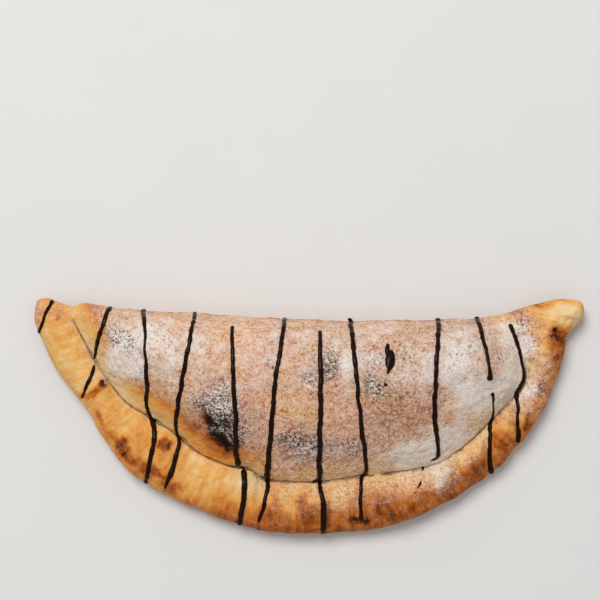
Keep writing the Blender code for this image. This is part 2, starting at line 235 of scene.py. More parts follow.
# ---------------------------------------------------------------- chocolate sauce, in millimetres
# Each strand: the points it passes, seen from above, and its width there as poured.
STRANDS = {
    "tip": [(-140.4, 63.2, 1.5), (-141.2, 60, 1.5), (-143.8, 53.5, 1.5), (-147.3, 46, 1.7)],
    "a_dome": [(-108.4, 59.4, 1.9), (-110.8, 51, 1.9), (-114, 42, 2.2), (-116.6, 35, 1.6),
        (-117.6, 32, 1.2)],
    "a_rim": [(-116.9, 28.6, 1.0), (-118, 23, 1.8), (-120.6, 17, 1.6), (-123.8, 10.4, 0.9)],
    "b": [(-90.6, 58, 1.9), (-88.6, 52, 1.7), (-87.7, 44, 1.3), (-87.5, 35, 1.3), (-87, 27, 1.9),
        (-87, 19, 2.1), (-87.9, 9, 2.0), (-87.6, 3, 2.0), (-85.6, -1.6, 2.4), (-84.1, -8, 2.4),
        (-84.6, -16, 2.2), (-86.6, -25, 2.1), (-88.4, -32, 2.0), (-89.2, -36.6, 1.9)],
    "c": [(-62.3, 56.2, 1.5), (-62.7, 50, 1.6), (-64.2, 40, 2.0), (-66, 30, 2.1), (-68, 20, 2.1),
        (-69.9, 10, 2.2), (-71.6, 1, 2.1), (-72.3, -6, 1.8), (-71.5, -10.4, 1.6), (-71, -15, 2.0),
        (-72.6, -23, 2.1), (-75.4, -31, 2.4), (-78.6, -39, 1.0)],
    "d_dome": [(-41.6, 49.6, 1.2), (-41.2, 42, 1.6), (-40.6, 28, 2.0), (-40.2, 14, 2.1), (-39.2, 2, 2.1),
        (-39.6, -10, 2.3), (-39.5, -20, 2.5), (-38.8, -26.6, 2.8)],
    "d_rim": [(-35.8, -28.6, 2.6), (-35.2, -36, 2.6), (-35.8, -46, 2.5), (-37.4, -54, 2.4),
        (-38.3, -59.2, 2.2)],
    "e": [(-13.5, 53.4, 1.6), (-14.6, 44, 1.8), (-16.4, 32, 2.1), (-18.4, 20, 2.1), (-19.4, 8, 2.2),
        (-20.4, -5, 2.4), (-21.8, -18, 2.5), (-22.8, -29, 2.8), (-22.8, -35.6, 2.2), (-23.4, -42, 1.9),
        (-25.4, -50, 1.8), (-27.8, -57.4, 1.2)],
    "f": [(5.5, 47, 1.3), (5.5, 38, 1.8), (5.7, 26, 2.3), (5.8, 12, 2.2), (5.5, -2, 2.3), (5.3, -16, 2.4),
        (5.3, -28, 2.6), (5.6, -36, 2.0), (6.6, -43, 2.2), (7.4, -51, 2.8), (7.6, -58, 2.8),
        (7.2, -63.6, 2.2)],
    "g": [(22.2, 52.8, 1.7), (22.9, 42, 2.0), (24, 30, 2.1), (25.2, 17, 1.9), (26.6, 4, 1.8), (28, -8, 2.2),
        (29.6, -18, 2.0), (30.5, -26, 1.8), (30.3, -30.4, 2.0), (28.2, -33.6, 1.8), (27.6, -40, 1.7),
        (27.8, -48, 1.7), (27.4, -56, 1.8)],
    "h": [(70, 53.2, 1.9), (68.6, 44, 1.9), (67.2, 33, 2.1), (66.6, 21, 2.0), (66.4, 8, 2.2),
        (66.7, 0, 2.4), (68, -8, 2.2), (69.3, -16, 1.8), (69.9, -21.4, 2.2)],
    "i": [(91.2, 53.8, 1.7), (92.1, 46, 2.0), (93.8, 38, 2.0), (95, 30, 1.8), (96, 24.6, 1.9),
        (96.3, 22, 2.2)],
    "j": [(98.5, 12.4, 1.5), (98.9, 8, 0.9), (98.8, 2.6, 1.2), (98.2, -2, 2.2), (97.8, -9, 2.5),
        (97.8, -18, 2.3), (98.2, -26, 2.5), (99.4, -30.6, 2.7)],
    "k": [(108.6, 50.8, 1.5), (110.6, 45, 1.9), (113, 38, 2.0), (115.2, 31, 1.8), (116.2, 25, 2.0),
        (115.8, 20.4, 2.7), (113, 15, 3.0), (112.4, 11, 2.4), (113.2, 5, 2.0), (113.2, -3, 1.9),
        (113.6, -9, 2.3), (113.5, -14.4, 2.0)],
}
# Sauce caught in the crimp, and short runs: the same, with pointed ends.
POOLS = {
    "b": [(-88.6, 1.2, 1.6), (-84.6, -1.8, 2.0), (-80, -4.6, 0.9)],
    "c": [(-74, -8.9, 1.0), (-70.8, -11.2, 1.6), (-67.5, -14.2, 0.7)],
    "d": [(-44.6, -26.2, 0.9), (-40, -27.2, 1.6), (-36, -27.8, 2.2), (-31, -29.4, 1.1)],
    "e": [(-27.4, -31.8, 1.0), (-23, -34.4, 1.8), (-17.6, -35, 0.9)],
    "f": [(-1, -35.8, 1.0), (2.4, -35, 1.9), (6, -33.2, 2.0)],
    "g": [(32, -31.2, 1.6), (29.4, -31.6, 1.8), (26.6, -33.4, 1.2)],
    "h": [(65.2, -23.4, 1.4), (68.4, -22.6, 2.0), (71.2, -20.6, 1.4)],
    "dash": [(60.3, -34.2, 1.2), (59.5, -36.2, 1.3), (58.2, -38.6, 0.9)],
}
# Drops: X, Y, half length, half width, turn in degrees and height.
DROPS = [
    (42.6, 31.6, 5.4, 2.7, 84, 1.3), (41.2, 37.2, 3.4, 1.3, 80, 0.9), (41.8, 26.4, 2.2, 1.0, 70, 0.7),
    (40.0, 18.8, 1.1, 0.9, 0, 0.5), (95.9, 22.0, 1.7, 1.5, 0, 1.0), (98.3, 12.6, 1.1, 1.1, 0, 0.7),
    (61.6, -28.4, 0.9, 0.6, 20, 0.4), (57.0, -40.6, 0.5, 0.4, 0, 0.3),
]

# ---------------------------------------------------------------- curves and heights

def smooth_line(points, samples):
    """A Catmull-Rom curve through the points, cut into samples of equal length."""
    p = np.array(points, float)
    p = np.vstack([2 * p[0] - p[1], p, 2 * p[-1] - p[-2]])
    t = np.linspace(0, 1, SAMPLES_PER_SPAN, endpoint=False)[:, None]
    spans = [
        b + t * ((c - a) / 2 + t * ((2 * a - 5 * b + 4 * c - d) / 2 + t * (3 * (b - c) + d - a) / 2))
        for a, b, c, d in zip(p, p[1:], p[2:], p[3:])
    ]
    return even_steps(np.vstack([*spans, p[-2:-1]]), samples)


def even_steps(curve, samples):
    """Points at equal distances along a chain of points."""
    along = np.append(0, np.cumsum(np.linalg.norm(np.diff(curve, axis=0), axis=1)))
    wanted = np.linspace(0, along[-1], samples)
    return np.stack([np.interp(wanted, along, column) for column in curve.T], axis=1)


def distance_to(line, places):
    """Distance from each place to a line's nearest point, and 1 on the line's left or -1 on its right."""
    start, step = line[:-1], np.diff(line, axis=0)
    length = (step * step).sum(1)
    parts = []
    for some in np.array_split(places, max(1, len(places) // 4000)):
        gap = some[:, None] - start
        share = np.clip((gap * step).sum(2) / length, 0, 1)
        off = gap - share[..., None] * step
        nearest = np.argmin((off * off).sum(2), axis=1)
        off = off[np.arange(len(some)), nearest]
        run = step[nearest]
        side = np.where(run[:, 0] * off[:, 1] - run[:, 1] * off[:, 0] >= 0, 1.0, -1.0)
        parts.append(np.stack([np.hypot(off[:, 0], off[:, 1]), side]))
    return np.concatenate(parts, axis=1)


def swell(distance, reach, fullness, steepness):
    """A puffed rise from 0 at an edge, where it starts upright, to 1 at reach and beyond."""
    left = 1 - np.clip(distance / reach, 0, 1)
    return (1 - left**fullness) ** steepness


def bump(distance, reach):
    """A round bump: 1 in the middle, falling away over its reach."""
    return np.exp(-((distance / reach) ** 2))


def fade(value, low, high):
    """A smooth step from 0 at low to 1 at high."""
    share = np.clip((value - low) / (high - low), 0, 1)
    return share * share * (3 - 2 * share)


def unevenness(places):
    """Slow waves that lift and lower the dough's edge and top."""
    x, y = places.T
    return sum(rise * np.sin(2 * np.pi * (x / wave_x + y / wave_y)) for wave_x, wave_y, rise in WAVES)


FOLD_EDGE, CRIMP, RIM_EDGE = (smooth_line(line, CURVE_SAMPLES) for line in (FOLD_LINE, CRIMP_LINE, RIM_LINE))
OUTLINE = np.vstack([FOLD_EDGE[:-1], RIM_EDGE[::-1]])


def ridges(places, marks):
    """Sum of ridges along straight lines, each with the section of bump and a height of its own."""
    total = np.zeros(len(places))
    for x_in, y_in, x_out, y_out, half_width, rise in marks:
        across = distance_to(np.array([(x_in, y_in), (x_out, y_out)]), places)[0]
        total += rise * bump(across, half_width)
    return total


class Lay:
    """How places lie in the plan: how far inside the outline, how far from the crimp and on which side."""

    def __init__(self, places):
        self.places = places
        self.inset = distance_to(OUTLINE, places)[0]
        self.to_crimp, self.side = distance_to(CRIMP, places)
        self.open = np.zeros(len(places))
        for x, y, reach, width in CRIMP_ENDS:
            away = np.hypot(places[:, 0] - x, places[:, 1] - y)
            self.open += width * np.clip(1 - away / reach, 0, 1)
        self.from_crimp = np.hypot(self.to_crimp, self.open) + TINY
        self.dome_share = (1 + self.side * self.to_crimp / self.from_crimp) / 2

    def top_heights(self):
        """Height of the upper surface: the slab, the rolled rim with its tucks, the dome and the blisters."""
        rounded = swell(self.inset, EDGE_ROUNDING, 2.0, 0.5)
        slab = WIDEST_LINE_HEIGHT + (CREASE_HEIGHT - WIDEST_LINE_HEIGHT) * rounded + unevenness(self.places)
        roll = RIM_ROLL_RISE - ridges(self.places, TUCKS)
        roll *= swell(self.from_crimp, RIM_ROLL_INSIDE, 2.0, 0.8)
        roll *= swell(self.inset, RIM_ROLL_OUTSIDE, 2.0, 0.6)
        dome = swell(self.from_crimp, DOME_FROM_CREASE, 2.1, 0.85)
        dome *= swell(self.inset, DOME_FROM_FOLD, 2.3, 0.6)
        heights = slab + DOME_RISE * dome * self.dome_share + roll * (1 - self.dome_share)
        for x, y, reach, rise in BLISTERS:
            away = np.hypot(self.places[:, 0] - x, self.places[:, 1] - y)
            heights += rise * bump(away, reach) * rounded
        return heights

    def underside_heights(self):
        """Height of the lower surface: a quarter ellipse in from the widest line, then flat on the table."""
        edge = WIDEST_LINE_HEIGHT + unevenness(self.places)
        return edge * (1 - swell(self.inset, UNDERSIDE_ROUNDING, 2.0, 0.5))


def ripples(points, wave_length, seed, count=40):
    """Even, shapeless waves: a sum of cosines in random directions, with wave lengths round the one given.

    The result has a mean of 0 and a typical size of 1.
    """
    rng = np.random.default_rng(seed)
    directions = rng.normal(size=(count, points.shape[1]))
    directions /= np.linalg.norm(directions, axis=1, keepdims=True)
    waves = directions * 2 * np.pi / (wave_length * rng.uniform(0.7, 1.6, (count, 1)))
    phases = rng.uniform(0, 2 * np.pi, count)
    total = np.zeros(len(points))
    for wave, phase in zip(waves, phases):
        total += np.cos(points @ wave + phase)
    return total * np.sqrt(2 / count)


def painted(places, marks):
    """Sum of oval marks: strength times exp of minus the distance in half axes to the power 2.8."""
    total = np.zeros(len(places))
    for x, y, half_length, half_width, turn, strength in marks:
        angle = np.radians(turn)
        dx, dy = places[:, 0] - x, places[:, 1] - y
        along = (dx * np.cos(angle) + dy * np.sin(angle)) / half_length
        across = (dy * np.cos(angle) - dx * np.sin(angle)) / half_width
        total += strength * np.exp(-((along * along + across * across) ** 1.4))
    return total


# ---------------------------------------------------------------- the crust's grid

def relief(points, lay, sizes):
    """Fine unevenness of the upper crust, in millimetres along the surface's normal, from 3-D ripples.

    Long ripples give lumps and short ones pores. On the middle and right of the rim, ripples that run along
    the rim only give the fine pleats of stretched dough.
    """
    x, y = lay.places.T
    lumps = sizes.lump_height / MM * ripples(points, LUMP_WAVE, LUMP_SEED)
    bumps = sizes.bump_height / MM * ripples(points, BUMP_WAVE, BUMP_SEED)
    pores = sizes.pore_height / MM * ripples(points, PORE_WAVE, 13)
    along_rim = np.degrees(np.arctan2(y - RIM_CENTRE_Y, x)) * RIM_MM_PER_DEGREE
    pleats = ripples(np.column_stack([along_rim, PLEAT_DRIFT * y]), PLEAT_WAVE, 14) * sizes.pleat_height / MM
    on_rim = (1 - lay.dome_share) * fade(x, -60.0, 40.0) * fade(lay.inset, 0.5, 6.0)
    crease = sizes.crease_depth / MM * bump(lay.to_crimp, CREASE_REACH) * np.clip(1 - lay.open, 0, 1)
    folds = ridges(lay.places, FOLDS) * fade(lay.to_crimp, CREASE_REACH, 2.0)
    return lumps + bumps * (1 + ROUGHER_RIM * on_rim) + pores + pleats * on_rim + folds - crease


def outward_normals(grid):
    """Unit normals of a grid of rings, from the cross product of its two central differences."""
    across = np.roll(grid, -1, axis=1) - np.roll(grid, 1, axis=1)
    along = np.gradient(grid, axis=0)
    normals = np.cross(across, along)
    return normals / (np.linalg.norm(normals, axis=2, keepdims=True) + TINY)


def cut_rows(rows, shares):
    """Each row of points cut at the same shares of its own length, all rows at once."""
    lengths = np.linalg.norm(np.diff(rows, axis=1), axis=2)
    along = np.concatenate([np.zeros((len(rows), 1)), np.cumsum(lengths, axis=1)], axis=1)
    share = along / along[:, -1:]
    shift = 2.0 * np.arange(len(rows))[:, None]
    wanted = shares[None] + shift
    flat = (share + shift).ravel()
    return np.stack([np.interp(wanted, flat, rows[..., axis].ravel()) for axis in range(2)], axis=2)


def eased(steps, last=False):
    """Shares from 0 to 1, closer together at both ends, where the surface bends most."""
    return (1 - np.cos(np.pi * np.arange(steps + last) / steps)) / 2


def between(start, end, steps, last=False):
    """Rows of points from start towards end, spaced by eased."""
    share = eased(steps, last)[None, :, None]
    return start[:, None] * (1 - share) + end[:, None] * share


def cut_by_surface(start, end, shares):
    """Rows from start to end, cut at shares of their length on the upper surface and not in the plan."""
    fine = between(start, end, FINE_STEPS, last=True)
    heights = Lay(fine.reshape(-1, 2)).top_heights().reshape(fine.shape[:2])
    return cut_rows(np.dstack([fine, heights]), shares)


class Dough:
    """The crust's grid of rings in millimetres, and how it is fitted to the solid."""

    def __init__(self, sizes):
        self.sizes = sizes
        lines = (FOLD_LINE, CRIMP_ROW_LINE, RIM_LINE)
        fold, crimp_row, rim = (smooth_line(line, RINGS + 2)[1:-1] for line in lines)
        dome_shares = 1 - (1 - np.arange(DOME_STEPS) / DOME_STEPS) ** CREASE_CROWDING
        rim_shares = (np.arange(RIM_STEPS) / RIM_STEPS) ** CREASE_CROWDING
        over = np.hstack([
            cut_by_surface(fold, crimp_row, dome_shares),
            cut_by_surface(crimp_row, rim, rim_shares),
        ])
        under = between(rim, fold, UNDERSIDE_STEPS)
        self.top_steps = over.shape[1]
        top_lay, under_lay = Lay(over.reshape(-1, 2)), Lay(under.reshape(-1, 2))
        self.lays = (top_lay, under_lay)
        top = np.dstack([over, top_lay.top_heights().reshape(over.shape[:2])])
        underside = np.dstack([under, under_lay.underside_heights().reshape(under.shape[:2])])
        grid = np.hstack([top, underside])
        self.normals = outward_normals(grid)
        raised = relief(top.reshape(-1, 3), top_lay, sizes).reshape(over.shape[:2])
        below = underside.reshape(-1, 3)
        dents = sizes.bump_height / MM * ripples(below, BUMP_WAVE, BUMP_SEED)
        dents += sizes.lump_height / MM * ripples(below, LUMP_WAVE, LUMP_SEED)
        pitted = np.minimum(PIT_SPREAD * ripples(below, PIT_WAVE, 15) - PIT_DEPTH, 0.0)
        flat = fade(below[:, 2], 3.0, 0.2)
        lowered = (dents * (1 - flat) + pitted * flat).reshape(under.shape[:2])
        self.grid = grid + self.normals * np.hstack([raised, lowered])[..., None]
        places = np.array([BLUNT_TIP, EAR_TIP])
        self.tips = np.column_stack([places, WIDEST_LINE_HEIGHT + unevenness(places)])
        self.fit_to_solid()

    def fit_to_solid(self):
        """Scale and shift that bring the grid into the solid's box, with room on top for the sauce."""
        points = np.vstack([self.grid.reshape(-1, 3), self.tips])
        low, high = points.min(0), points.max(0)
        low[2] = min(low[2], 0.0)
        room = np.array([0.0, 0.0, self.sizes.top_clearance])
        self.scale = (CRUST_HIGH - CRUST_LOW - room) / (high - low)
        self.shift = CRUST_LOW - low * self.scale

    def placed(self, points):
        """Points in millimetres of the dough brought to metres of the frame."""
        return points * self.scale + self.shift

    def lay_on(self, places):
        """Points on the upper surface and its normals there, for places in the plan, in millimetres."""
        lay = Lay(places)
        probe = 0.05
        heights = lay.top_heights()
        slope_x = (Lay(places + [probe, 0]).top_heights() - heights) / probe
        slope_y = (Lay(places + [0, probe]).top_heights() - heights) / probe
        normals = np.column_stack([-slope_x, -slope_y, np.ones(len(places))])
        normals /= np.linalg.norm(normals, axis=1, keepdims=True)
        points = np.column_stack([places, heights])
        return points + normals * relief(points, lay, self.sizes)[:, None], normals


@functools.cache
def dough():
    """The one dough that crust, sugar and sauce share."""
    return Dough(bpy.context.scene.calzone_sizes)


# ---------------------------------------------------------------- meshes

def new_piece(name, points, faces, material, smooth=True):
    """A mesh object at the origin from arrays of points and of faces with equally many corners."""
    mesh = bpy.data.meshes.new(name)
    corners = faces.shape[1]
    mesh.vertices.add(len(points))
    mesh.vertices.foreach_set("co", points.astype(np.float32).ravel())
    mesh.loops.add(faces.size)
    mesh.loops.foreach_set("vertex_index", faces.astype(np.int32).ravel())
    mesh.polygons.add(len(faces))
    mesh.polygons.foreach_set("loop_start", np.arange(0, faces.size, corners, dtype=np.int32))
    mesh.update(calc_edges=True)
    mesh.validate()
    mesh.polygons.foreach_set("use_smooth", np.full(len(faces), smooth))
    mesh.materials.append(material)
    piece = bpy.data.objects.new(name, mesh)
    bpy.context.scene.collection.objects.link(piece)
    return piece


def store(piece, name, values):
    """Keeps one number for each vertex, for the material to read."""
    piece.data.attributes.new(name, "FLOAT", "POINT").data.foreach_set("value", values.astype(np.float32))


# Room on the map for each end's fan, in steps between rings.
FAN_ROOM = 2


def own_map(piece, rings, steps):
    """A map for the baked looks: the rings side by side from left to right, their steps from bottom to top.

    The last step of a ring ends at the map's top, and each tip lies at the middle of its fan's edge.
    """
    def corner(across, up):
        return np.stack(np.broadcast_arrays(across, up), axis=-1).reshape(-1, 2)

    ring, step = np.arange(rings - 1.0)[:, None], np.arange(float(steps))
    end = rings - 1
    triangles = [
        (corner(ring, step), corner(ring, step + 1), corner(ring + 1, step + 1)),
        (corner(ring, step), corner(ring + 1, step + 1), corner(ring + 1, step)),
        (corner(-FAN_ROOM, step + 0.5), corner(0, step + 1), corner(0, step)),
        (corner(end + FAN_ROOM, step + 0.5), corner(end, step), corner(end, step + 1)),
    ]
    places = np.concatenate([np.stack(some, axis=1) for some in triangles])
    places = (places + [FAN_ROOM + 1, 0.5]) / [rings + 2 * FAN_ROOM + 1, steps + 1]
    piece.data.uv_layers.new(name="OFBake").uv.foreach_set("vector", places.astype(np.float32).ravel())


def closed_faces(rings, steps):
    """Triangles between neighbouring rings of a closed grid, then a fan over each end.

    The two end points come after the grid's own points.
    """
    ring = np.arange(steps)
    following = (ring + 1) % steps
    row = np.arange(rings - 1)[:, None] * steps
    here, after = (row + ring).ravel(), (row + following).ravel()
    last, ends = (rings - 1) * steps, rings * steps
    return np.vstack([
        np.column_stack([here, after, after + steps]),
        np.column_stack([here, after + steps, here + steps]),
        np.column_stack([np.full(steps, ends), following, ring]),
        np.column_stack([np.full(steps, ends + 1), last + ring, last + following]),
    ])


# ---------------------------------------------------------------- shader helper

class Wire:
    """A shader socket. Sums, differences and products of wires and numbers add Math nodes."""

    def __init__(self, net, socket):
        self.net = net
        self.socket = socket

    def math(self, operation, other, reflected=False):
        pair = (other, self) if reflected else (self, other)
        return self.net.node("ShaderNodeMath", {"operation": operation}, dict(enumerate(pair)))

    def __add__(self, other):
        return self.math("ADD", other)

    def __sub__(self, other):
        return self.math("SUBTRACT", other)

    def __rsub__(self, other):
        return self.math("SUBTRACT", other, reflected=True)

    def __mul__(self, other):
        return self.math("MULTIPLY", other)

    __radd__, __rmul__ = __add__, __mul__

    def kept(self, low=0.0, high=1.0):
        """The value held between two limits."""
        return self.math("MINIMUM", high).math("MAXIMUM", low)


class Net:
    """A material's node tree round one Principled BSDF."""

    def __init__(self, name):
        self.material = bpy.data.materials.new(name)
        self.material.use_nodes = True
        self.tree = self.material.node_tree
        self.shader = self.tree.nodes["Principled BSDF"]
        self.place = self.node("ShaderNodeTexCoord", output="Object")

    def node(self, kind, settings=None, inputs=None, output=0):
        """Adds a node, sets it up, fills its sockets with numbers or wires and returns one of its outputs."""
        node = self.tree.nodes.new(kind)
        for key, value in (settings or {}).items():
            if key == "stops":
                self.set_stops(node.color_ramp, value)
            else:
                setattr(node, key, value)
        for key, value in (inputs or {}).items():
            self.feed(node.inputs[key], value)
        return Wire(self, node.outputs[output])

    def feed(self, socket, value):
        """Links a wire to a socket, or sets its value. A colour of three numbers gets its fourth."""
        if isinstance(value, Wire):
            self.tree.links.new(value.socket, socket)
        else:
            socket.default_value = (*value, 1.0) if socket.type == "RGBA" else value

    def set_stops(self, ramp, stops):
        """Gives a colour ramp its stops, each a position and a colour."""
        while len(ramp.elements) < len(stops):
            ramp.elements.new(1.0)
        for element, (position, colour) in zip(ramp.elements, stops):
            element.position = position
            element.color = (*colour, 1.0)

    def noise(self, wave_length, detail=2.0, roughness=0.5, place=None, stretch=None):
        """Cloudy noise round 0, for features of a wave length in millimetres."""
        place = place or self.place
        if stretch:
            place = self.node("ShaderNodeMapping", None, {"Vector": place, "Scale": stretch})
        wire = self.node(
            "ShaderNodeTexNoise",
            {"noise_dimensions": "3D"},
            {"Vector": place, "Scale": 1 / (wave_length * MM), "Detail": detail, "Roughness": roughness},
        )
        return wire - 0.5

    def attribute(self, name):
        return self.node("ShaderNodeAttribute", {"attribute_name": name}, output="Fac")

    def ramp(self, value, stops):
        return self.node("ShaderNodeValToRGB", {"stops": stops}, {0: value}, "Color")

    def mix(self, share, first, second):
        """Colour mix: first where share is 0, second where it is 1."""
        return self.node("ShaderNodeMix", {"data_type": "RGBA"}, {0: share, 6: first, 7: second}, 2)

    def bump(self, height, distance, strength=1.0):
        inputs = {"Height": height, "Distance": distance, "Strength": strength}
        return self.node("ShaderNodeBump", None, inputs)

    def finish(self, **sockets):
        """Fills the Principled BSDF's sockets, named with _ for a space, and returns the material."""
        for name, value in sockets.items():
            self.feed(self.shader.inputs[name.replace("_", " ")], value)
        return self.material


# ---------------------------------------------------------------- materials

def crust_material(colours):
    """Baked dough from pale to burnt, under sugar that has partly melted into a thin film.

    Tone, scorch, sugar, crease shade, rim and olive come from the mesh, as do the places along and across the
    rim. The crease shade is painted shade: a thin dark line along the crimp, where shade falls in the crease.
    Noise of four sizes breaks them up. The finest, the grain, raises pale crests of sugar where it is high
    and leaves small dark pits between them where it is low. Scorched dough shows it most.
    """
    net = Net("baked_crust")
    tone, scorch, sugar, seam, rim, olive = (net.attribute(name) for name in STATES[:6])
    mottle = net.noise(7.0, 3.0, 0.55)
    freckle = net.noise(2.6, 2.0, 0.6)
    dust = net.noise(1.9, 2.0, 0.65)
    grit = net.noise(1.0, 1.0, 0.5)
    rim_place = {0: net.attribute("along"), 1: net.attribute("across")}
    round_rim = net.node("ShaderNodeCombineXYZ", None, rim_place)
    streak = net.noise(3.4, 2.0, 0.6, place=round_rim, stretch=(1.0, 0.14, 1.0))

    grain = dust * 3.0 + grit * 2.6
    dusted = (sugar * 2.5).kept()
    depth = tone + scorch * 0.4 + mottle * 0.34 + streak * rim * 0.6
    baked = (depth + freckle * 0.3 - grain * 0.05).kept()
    dough_colour = net.ramp(
        baked,
        [
            (0.0, colours.pale_dough),
            (0.2, colours.cream_dough),
            (0.4, colours.golden_dough),
            (0.55, colours.orange_crust),
            (0.7, colours.brown_crust),
            (0.82, colours.dark_crust),
            (0.92, colours.deep_crust),
            (1.0, colours.singed_crust),
        ],
    )
    burnt = (((scorch - 0.42) * 2.4 + freckle * 1.4 - grain * 0.35) * (scorch * 3.0).kept()).kept()
    crust = net.mix(burnt, dough_colour, colours.char)
    # Painted shade: a thin dark line darkens the crust along the crimp's crease.
    crust = net.mix((seam * 0.6).kept(), crust, colours.seam_shadow)

    film = sugar * 0.9 + mottle * sugar * 0.8
    cover = (film + grain * (sugar * 4.0).kept() * (scorch * 0.8 + 0.14)).kept(0.0, 0.96)
    thick = (sugar * 3.0 - 1.7 + mottle * 2.2 + grain * 0.1).kept()
    melted = net.mix((olive - scorch * 1.5).kept(), colours.sugar_rosy, colours.sugar_olive)
    sugar_colour = net.mix((thick + scorch * 0.8).kept(), melted, colours.sugar_white)
    pits = ((-0.03 - grain - mottle) * dusted * (0.66 - thick * 0.34 + scorch * 0.5)).kept(0.0, 0.9)
    crests = ((grain - 0.05) * dusted * 0.5).kept(0.0, 0.7)
    surface = net.mix(cover, crust, sugar_colour)
    surface = net.mix(crests, net.mix(pits, surface, colours.pit_shadow), colours.sugar_crest)

    height = freckle * 0.5 + grain * 0.12 + cover * 0.4 + streak * rim * 0.5
    rough = (0.50 + cover * 0.35 - burnt * 0.12 + freckle * 0.3).kept(0.25, 0.95)
    return net.finish(
        Base_Color=surface,
        Roughness=rough,
        Normal=net.bump(height, 0.0008, 0.8),
        Specular_IOR_Level=0.04,
    )


def sauce_material(colours):
    """Glossy dark chocolate, a little duller and browner in streaks where it has begun to dry."""
    net = Net("chocolate_sauce")
    drying = net.noise(2.4, 2.0, 0.5)
    skin = net.noise(0.9, 1.0, 0.5)
    shade = (drying * 1.4 + 0.35).kept()
    colour = net.mix(shade, colours.sauce_dark, colours.sauce_brown)
    return net.finish(
        Base_Color=colour,
        Roughness=(0.26 + drying * 0.3 + skin * 0.1).kept(0.08, 0.5),
        Normal=net.bump(skin, 0.0002, 0.35),
        Specular_IOR_Level=0.10,
    )


def sugar_material(colours):
    """Grains of icing sugar, white with a faint warm cast that differs from grain to grain."""
    net = Net("sugar_grains")
    cast = net.noise(0.7, 1.0, 0.5)
    colour = net.mix((cast * 4.0 + 0.5).kept(), colours.sugar_rosy, colours.sugar_grain)
    return net.finish(Base_Color=colour, Roughness=(0.6 + cast * 0.3).kept(), Specular_IOR_Level=0.4)


def floor_material(colours):
    """A plain pale floor with the faintest cloudiness."""
    net = Net("pale_floor")
    cloud = net.noise(60.0, 2.0, 0.5)
    colour = net.mix((cloud + 0.5).kept(), colours.floor_light, colours.floor_shade)
    return net.finish(Base_Color=colour, Roughness=(0.55 + cloud * 0.1).kept(), Specular_IOR_Level=0.25)


# ---------------------------------------------------------------- states of the crust's surface

STATES = ("tone", "scorch", "sugar", "seam", "rim", "olive", "along", "across")
# The even bake and dusting that the marks add to.
DOME_TONE, RIM_TONE, RIM_BROWNING = 0.46, 0.23, 0.45
TONE_KNEE, TONE_ROOM, PALE_CRIMP = 0.62, 0.18, 0.12
DOME_SUGAR, RIM_SUGAR = 0.58, 0.36
# Reach of the painted shade on each side of the crimp, in millimetres.
CREASE_SHADE_REACH = 0.2
RIM_RADIUS = 130.0


def warped(points):
    """Places in the plan, shifted by ripples so that marks get ragged edges."""
    drift = [1.1 * ripples(points, 15.0, seed) + 0.45 * ripples(points, 4.0, seed + 1) for seed in (21, 23)]
    return points[:, :2] + np.column_stack(drift)


@functools.cache
def top_states(made):
    """The states of the upper surface, one number for each vertex, in the order of STATES.

    The dome is browner towards the ear, paler on its ledge beside the crimp, and bare on that ledge's left.
    The rim is browner towards its outer edge, and has sugar from its middle to the lumps on the right. The
    marks add to that. Above the knee a tanh holds the tone back.
    """
    lay = made.lays[0]
    points = made.grid[:, : made.top_steps].reshape(-1, 3)
    upright = made.normals[:, : made.top_steps, 2].ravel()
    x, y = lay.places.T
    places = warped(points)
    dome, rim = lay.dome_share, 1 - lay.dome_share
    outwards = lay.to_crimp / (lay.to_crimp + lay.inset + TINY)

    ledge = 1 - fade(lay.to_crimp, 3.0, 14.0)
    paler = 0.30 + 0.50 * fade(x, -20.0, 20.0) + 0.45 * (1 - fade(x, -78.0, -62.0))
    dome_tone = (DOME_TONE + 0.26 * fade(x, -40.0, 50.0) + 0.10 * fade(y, 50.0, 15.0)) * (1 - paler * ledge)
    left = 1 - fade(x, -80.0, -20.0)
    browned = fade(outwards, 0.10 + 0.34 * left, 0.75 + 0.15 * left) * fade(x, -130.0, -100.0)
    browned *= (1 - 0.5 * left) * (1 - 0.45 * fade(x, 80.0, 120.0))
    rim_tone = RIM_TONE + 0.05 * fade(x, -60.0, 0.0) + RIM_BROWNING * browned
    rim_tone += 0.06 * fade(x, 60.0, 100.0) * (1 - browned)
    tone = dome_tone * dome + rim_tone * rim
    tone += painted(places, TONE_MARKS) + 0.025 * ripples(points, 9.0, 31)
    held_back = TONE_KNEE + TONE_ROOM * np.tanh((tone - TONE_KNEE) / TONE_ROOM)
    tone = np.where(tone > TONE_KNEE, held_back, tone)
    tone -= PALE_CRIMP * bump(lay.to_crimp, 4.0)

    scorch = painted(places, SCORCH_MARKS)

    bare_ledge = (1 - fade(lay.to_crimp, 6.0, 18.0)) * (1 - fade(x, -60.0, -15.0))
    dome_sugar = (DOME_SUGAR + 0.10 * fade(y, 5.0, 30.0)) * (1 - bare_ledge)
    dome_sugar *= fade(x, -122.0, -106.0) * (1 - fade(x, 114.0, 128.0))
    rim_sugar = RIM_SUGAR * fade(x, -45.0, 5.0) * (1 - fade(outwards, 0.15, 0.75))
    rim_sugar *= 1 - 0.9 * fade(x, 74.0, 84.0)
    sugar = dome_sugar * dome + rim_sugar * rim + painted(places, SUGAR_MARKS)
    sugar = np.clip(sugar + 0.03 * ripples(points, 6.0, 33), 0, 1.0) * fade(upright, 0.0, 0.22)

    # Painted shade along the crimp: a thin dark line, fading where the crimp opens at its ends.
    seam = bump(lay.to_crimp, CREASE_SHADE_REACH) * np.clip(1 - lay.open / 3, 0, 1)
    olive = 0.4 + 0.3 * ripples(points, 24.0, 35) + 0.7 * dome * bump(lay.to_crimp, 10.0)
    along = np.arctan2(y - RIM_CENTRE_Y, x) * RIM_RADIUS * MM
    across = lay.to_crimp * MM
    tone, scorch = np.clip(tone, 0, 1), np.clip(scorch, 0, 1.1)
    return np.stack([tone, scorch, sugar, seam, rim, olive, along, across])


